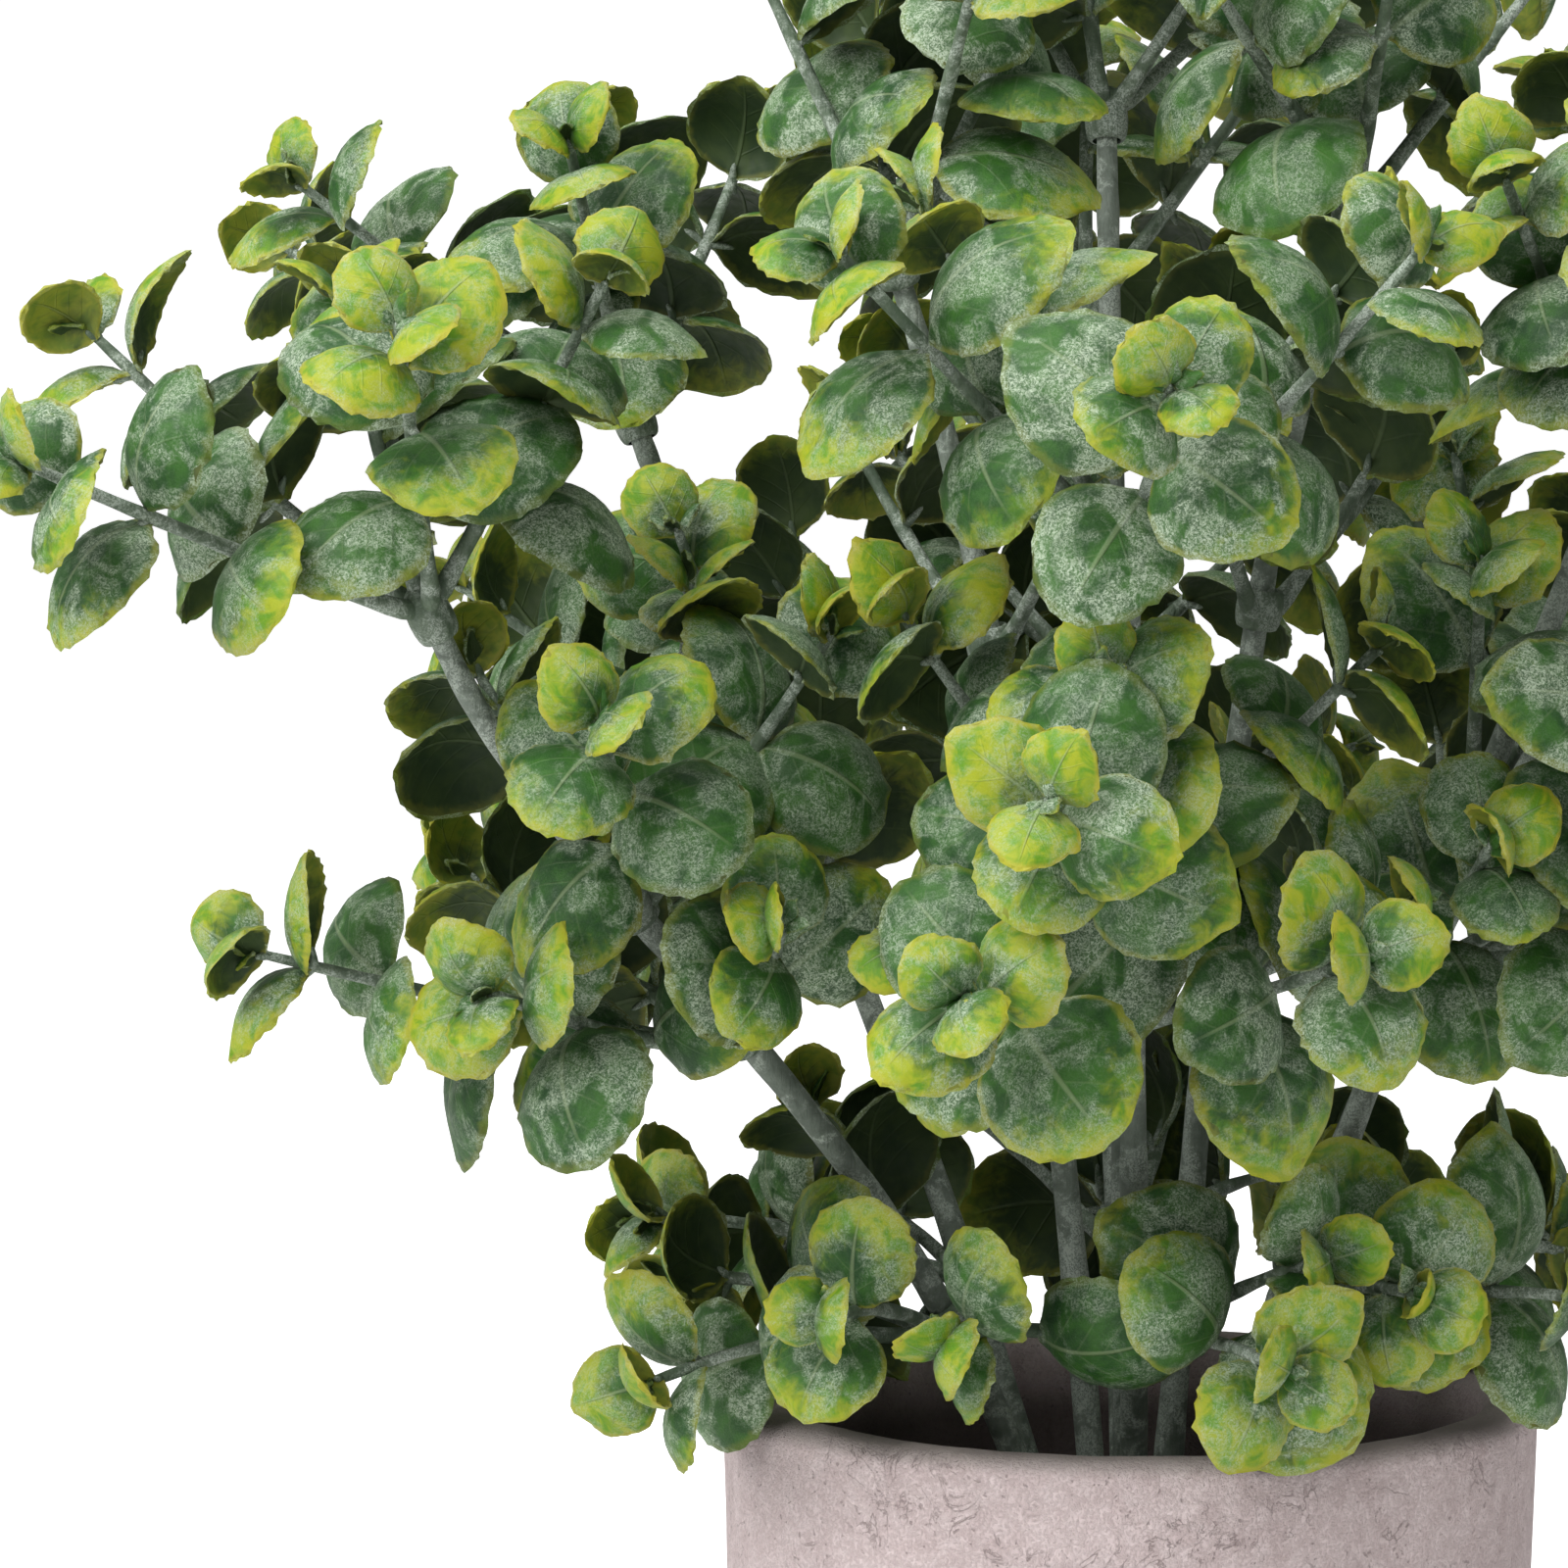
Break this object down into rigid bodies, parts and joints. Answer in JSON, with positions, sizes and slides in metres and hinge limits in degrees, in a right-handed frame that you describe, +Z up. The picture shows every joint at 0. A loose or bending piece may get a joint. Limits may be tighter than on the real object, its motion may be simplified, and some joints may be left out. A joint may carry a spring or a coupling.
{
  "type": "artificial potted bush",
  "caption": "Round-leaved moulded plastic bush of wired, bendable stems with push-on leaf sprays, set in a foam plug in a straight cement pot.",
  "frame": {"origin": "centre of the pot's flat underside", "axes": "+Z up along the pot's axis, -Y towards the front view"},
  "size_m": [0.2439, 0.2313, 0.2775],
  "materials": {
    "cement": "matte, finely mottled pinkish grey cement",
    "plug_foam": "dark porous foam",
    "hub_plastic": "matte dark green moulding",
    "stem_plastic": "matte grey-green with pale frosting",
    "leaf_plastic": "matte green, frosted pale on top, lime at the edges and tips",
    "wire_steel": "drawn steel wire"
  },
  "bodies": {
    "pot_body": {"pot": "cement", "foam_plug": "plug_foam"},
    "bush": {"bush_hub": "hub_plastic"},
    "outer_1_shoot": {"stem_outer_1": "stem_plastic", "wire_outer_1": "wire_steel", "spray_outer_1_1": "leaf_plastic", "spray_outer_1_2": "leaf_plastic", "spray_outer_1_3": "leaf_plastic", "spray_outer_1_4": "leaf_plastic"},
    "outer_2_shoot": {"stem_outer_2": "stem_plastic", "wire_outer_2": "wire_steel", "spray_outer_2_1": "leaf_plastic", "spray_outer_2_2": "leaf_plastic", "spray_outer_2_3": "leaf_plastic", "spray_outer_2_4": "leaf_plastic"},
    "outer_3_shoot": {"stem_outer_3": "stem_plastic", "wire_outer_3": "wire_steel", "spray_outer_3_1": "leaf_plastic", "spray_outer_3_2": "leaf_plastic", "spray_outer_3_3": "leaf_plastic", "spray_outer_3_4": "leaf_plastic"},
    "outer_4_shoot": {"stem_outer_4": "stem_plastic", "wire_outer_4": "wire_steel", "spray_outer_4_1": "leaf_plastic", "spray_outer_4_2": "leaf_plastic", "spray_outer_4_3": "leaf_plastic", "spray_outer_4_4": "leaf_plastic"},
    "outer_5_shoot": {"stem_outer_5": "stem_plastic", "wire_outer_5": "wire_steel", "spray_outer_5_1": "leaf_plastic", "spray_outer_5_2": "leaf_plastic", "spray_outer_5_3": "leaf_plastic", "spray_outer_5_4": "leaf_plastic"},
    "outer_6_shoot": {"stem_outer_6": "stem_plastic", "wire_outer_6": "wire_steel", "spray_outer_6_1": "leaf_plastic", "spray_outer_6_2": "leaf_plastic", "spray_outer_6_3": "leaf_plastic", "spray_outer_6_4": "leaf_plastic"},
    "inner_1_shoot": {"stem_inner_1": "stem_plastic", "wire_inner_1": "wire_steel", "spray_inner_1_1": "leaf_plastic", "spray_inner_1_2": "leaf_plastic", "spray_inner_1_3": "leaf_plastic"},
    "inner_2_shoot": {"stem_inner_2": "stem_plastic", "wire_inner_2": "wire_steel", "spray_inner_2_1": "leaf_plastic", "spray_inner_2_2": "leaf_plastic", "spray_inner_2_3": "leaf_plastic"},
    "inner_3_shoot": {"stem_inner_3": "stem_plastic", "wire_inner_3": "wire_steel", "spray_inner_3_1": "leaf_plastic", "spray_inner_3_2": "leaf_plastic", "spray_inner_3_3": "leaf_plastic"}
  },
  "joints": [
    {"name": "bush_turn", "type": "hinge", "parent": "pot_body", "child": "bush", "pos_m": [0, 0, 0.0575], "axis": [0, 0, 1], "continuous": true},
    {"name": "outer_1_lean", "type": "hinge", "parent": "bush", "child": "outer_1_shoot", "pos_m": [-0.00745, -0.0043, 0.063], "axis": [0.5, -0.866, 0], "range_deg": [0, 8]},
    {"name": "outer_2_lean", "type": "hinge", "parent": "bush", "child": "outer_2_shoot", "pos_m": [0, -0.0086, 0.063], "axis": [1, 0, 0], "range_deg": [0, 8]},
    {"name": "outer_3_lean", "type": "hinge", "parent": "bush", "child": "outer_3_shoot", "pos_m": [0.00745, -0.0043, 0.063], "axis": [0.5, 0.866, 0], "range_deg": [0, 8]},
    {"name": "outer_4_lean", "type": "hinge", "parent": "bush", "child": "outer_4_shoot", "pos_m": [0.00745, 0.0043, 0.063], "axis": [-0.5, 0.866, 0], "range_deg": [0, 8]},
    {"name": "outer_5_lean", "type": "hinge", "parent": "bush", "child": "outer_5_shoot", "pos_m": [0, 0.0086, 0.063], "axis": [-1, 0, 0], "range_deg": [0, 8]},
    {"name": "outer_6_lean", "type": "hinge", "parent": "bush", "child": "outer_6_shoot", "pos_m": [-0.00745, 0.0043, 0.063], "axis": [-0.5, -0.866, 0], "range_deg": [0, 8]},
    {"name": "inner_1_lean", "type": "hinge", "parent": "bush", "child": "inner_1_shoot", "pos_m": [-0.0032, -0.00185, 0.063], "axis": [0.5, -0.866, 0], "range_deg": [0, 2.5]},
    {"name": "inner_2_lean", "type": "hinge", "parent": "bush", "child": "inner_2_shoot", "pos_m": [0.0032, -0.00185, 0.063], "axis": [0.5, 0.866, 0], "range_deg": [0, 2.5]},
    {"name": "inner_3_lean", "type": "hinge", "parent": "bush", "child": "inner_3_shoot", "pos_m": [0, 0.0037, 0.063], "axis": [-1, 0, 0], "range_deg": [0, 2.5]}
  ]
}
